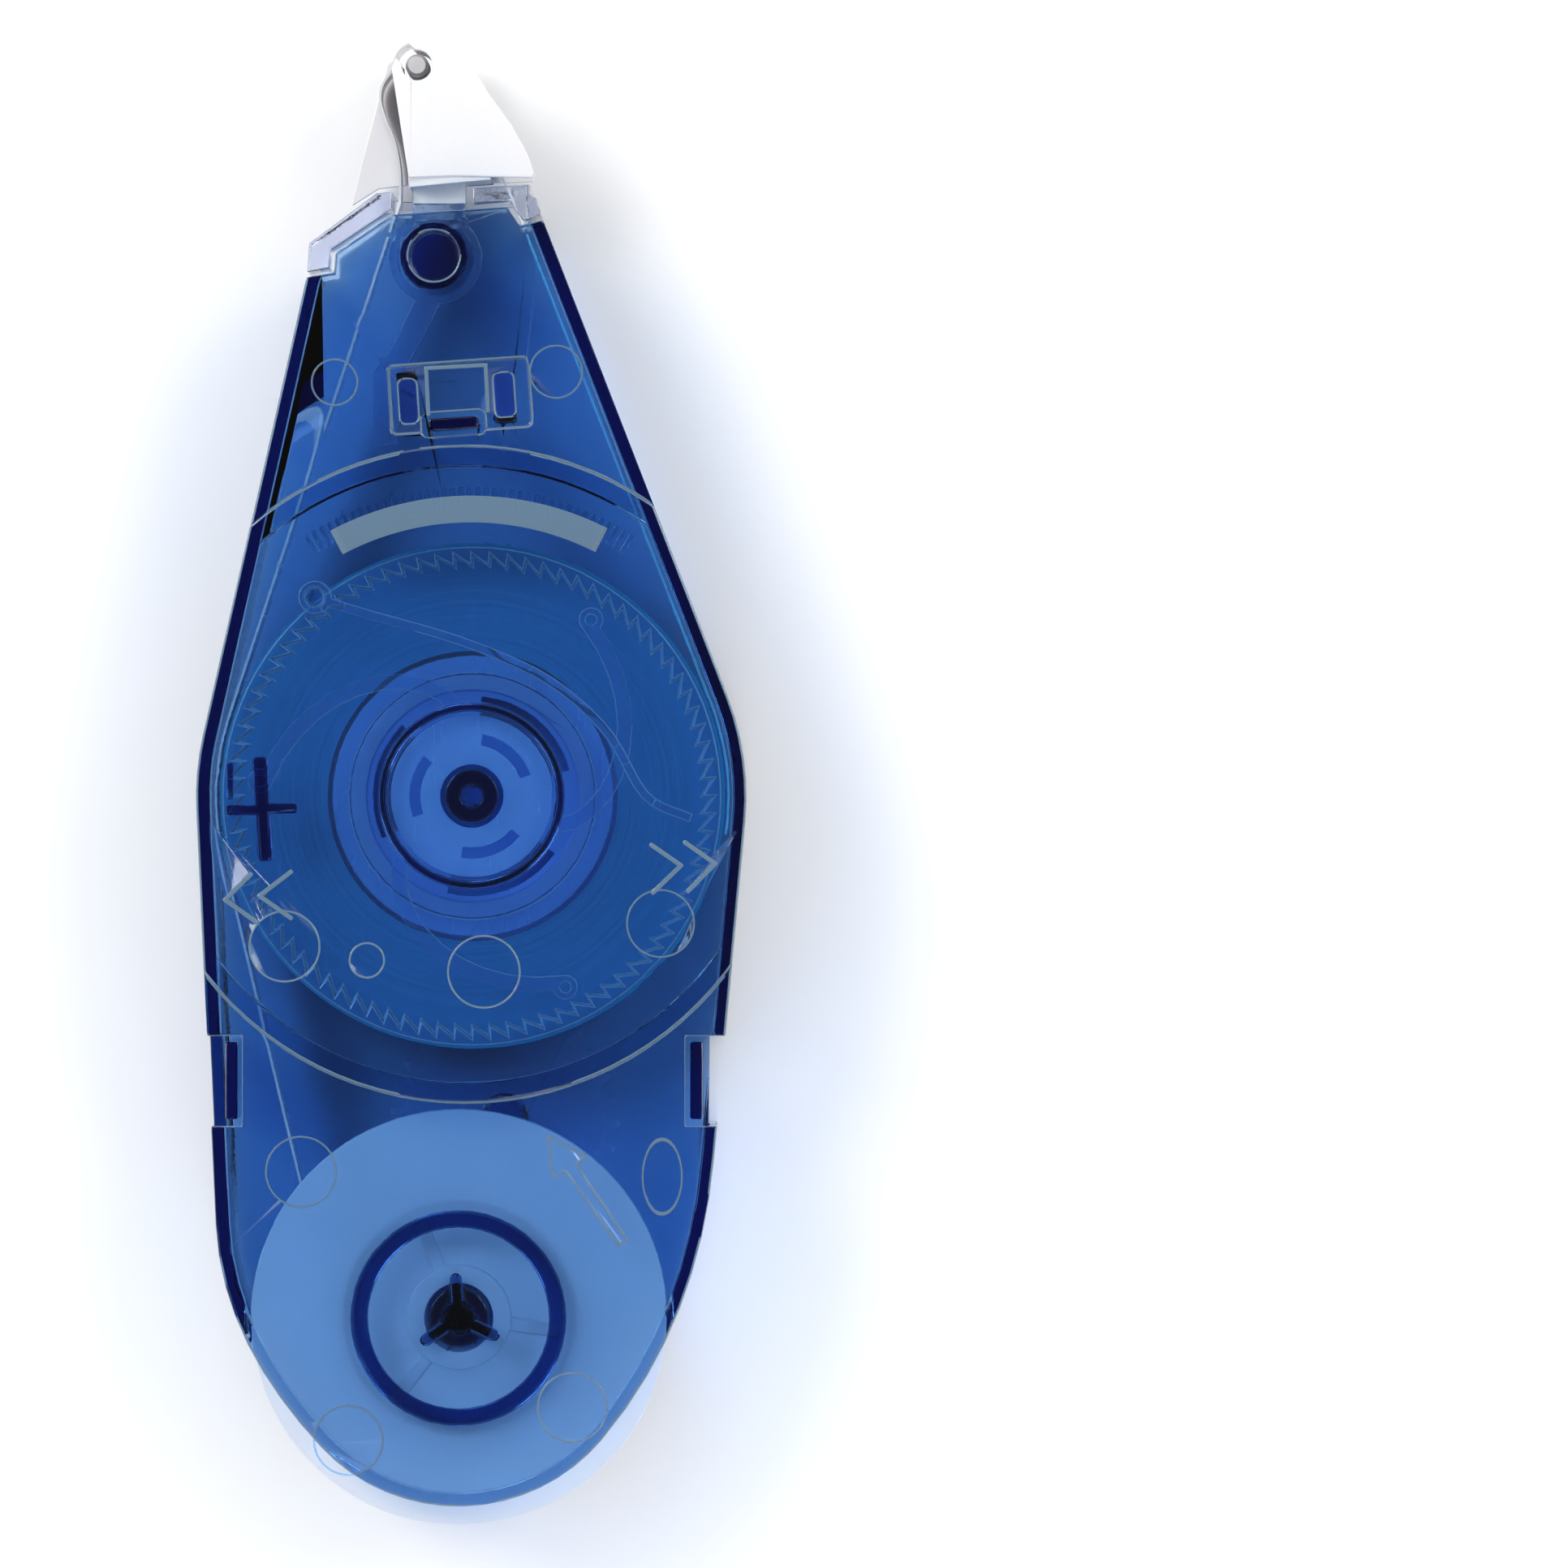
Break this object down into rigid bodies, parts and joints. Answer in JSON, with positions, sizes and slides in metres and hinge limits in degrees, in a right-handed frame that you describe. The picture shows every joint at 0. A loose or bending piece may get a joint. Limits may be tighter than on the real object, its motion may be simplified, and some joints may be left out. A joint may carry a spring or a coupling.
{
  "type": "correction tape roller",
  "caption": "Flat translucent cartridge with a tape reel, gear train, take-up spool with thumb wheel and a narrow roller tip for laying tape.",
  "frame": {"origin": "under the middle of the cartridge's box, on the flat back face it lies on", "axes": "+Z from the back cover to the front cover, +Y towards the roller tip, +X to the right seen from the front"},
  "size_m": [0.035, 0.095, 0.0136],
  "materials": {
    "blue_shell": "clear blue polystyrene, polished",
    "clear_guide": "colourless polystyrene, polished",
    "white_head": "white, slightly see-through",
    "grey_roller": "satin grey",
    "tape_white": "wound coated tape",
    "film_grey": "thin see-through film",
    "milky_inner": "milky, fine moulded grain",
    "white_spool": "white, fine moulded grain"
  },
  "bodies": {
    "case": {"back_cover": "blue_shell", "front_cover": "blue_shell", "neck_guide": "clear_guide", "tape_run_out": "tape_white", "film_run_back": "film_grey"},
    "head": {"head_frame": "white_head", "tip_tape": "film_grey"},
    "tip_roller": {"tip_roller": "grey_roller"},
    "supply_reel": {"tape_roll": "tape_white", "core_ring": "milky_inner", "reel_hub": "milky_inner", "ratchet_flange": "milky_inner"},
    "drive_train": {"drive_gear": "milky_inner", "clutch_spider": "milky_inner", "clutch_cap": "milky_inner"},
    "idler": {"idler_gear": "milky_inner"},
    "takeup": {"takeup_spool": "white_spool", "takeup_gear": "milky_inner", "used_film_roll": "film_grey"},
    "backstop": {"backstop_arm": "milky_inner"}
  },
  "joints": [
    {"name": "supply_reel_spin", "type": "hinge", "parent": "case", "child": "supply_reel", "pos_m": [0, -0.00087, 0.006], "axis": [0, 0, 1], "continuous": true},
    {"name": "drive_gear_spin", "type": "hinge", "parent": "case", "child": "drive_train", "pos_m": [0, -0.00087, 0.006], "axis": [0, 0, 1], "continuous": true},
    {"name": "idler_spin", "type": "hinge", "parent": "case", "child": "idler", "pos_m": [0.00194, -0.02162, 0.00225], "axis": [0, 0, 1], "continuous": true},
    {"name": "takeup_spin", "type": "hinge", "parent": "case", "child": "takeup", "pos_m": [-0.00085, -0.03421, 0.006], "axis": [0, 0, 1], "continuous": true},
    {"name": "head_rock", "type": "hinge", "parent": "case", "child": "head", "pos_m": [-0.0024, 0.03363, 0.0058], "axis": [0, 0, 1], "range_deg": [-1.5, 1.5], "stiffness_Nm_per_rad": 0.05},
    {"name": "tip_roller_spin", "type": "hinge", "parent": "head", "child": "tip_roller", "pos_m": [-0.00357, 0.04594, 0.0058], "axis": [0, 0, 1], "continuous": true},
    {"name": "backstop_flex", "type": "hinge", "parent": "case", "child": "backstop", "pos_m": [-0.00998, 0.01181, 0.01185], "axis": [0, 0, 1], "range_deg": [-2, 0], "stiffness_Nm_per_rad": 0.01}
  ],
  "couplings": [
    {"joint": "drive_gear_spin", "follows": "supply_reel_spin", "ratio": 0.896},
    {"joint": "idler_spin", "follows": "supply_reel_spin", "ratio": -1.792},
    {"joint": "takeup_spin", "follows": "supply_reel_spin", "ratio": 2.0907},
    {"joint": "tip_roller_spin", "follows": "supply_reel_spin", "ratio": 12.46}
  ]
}
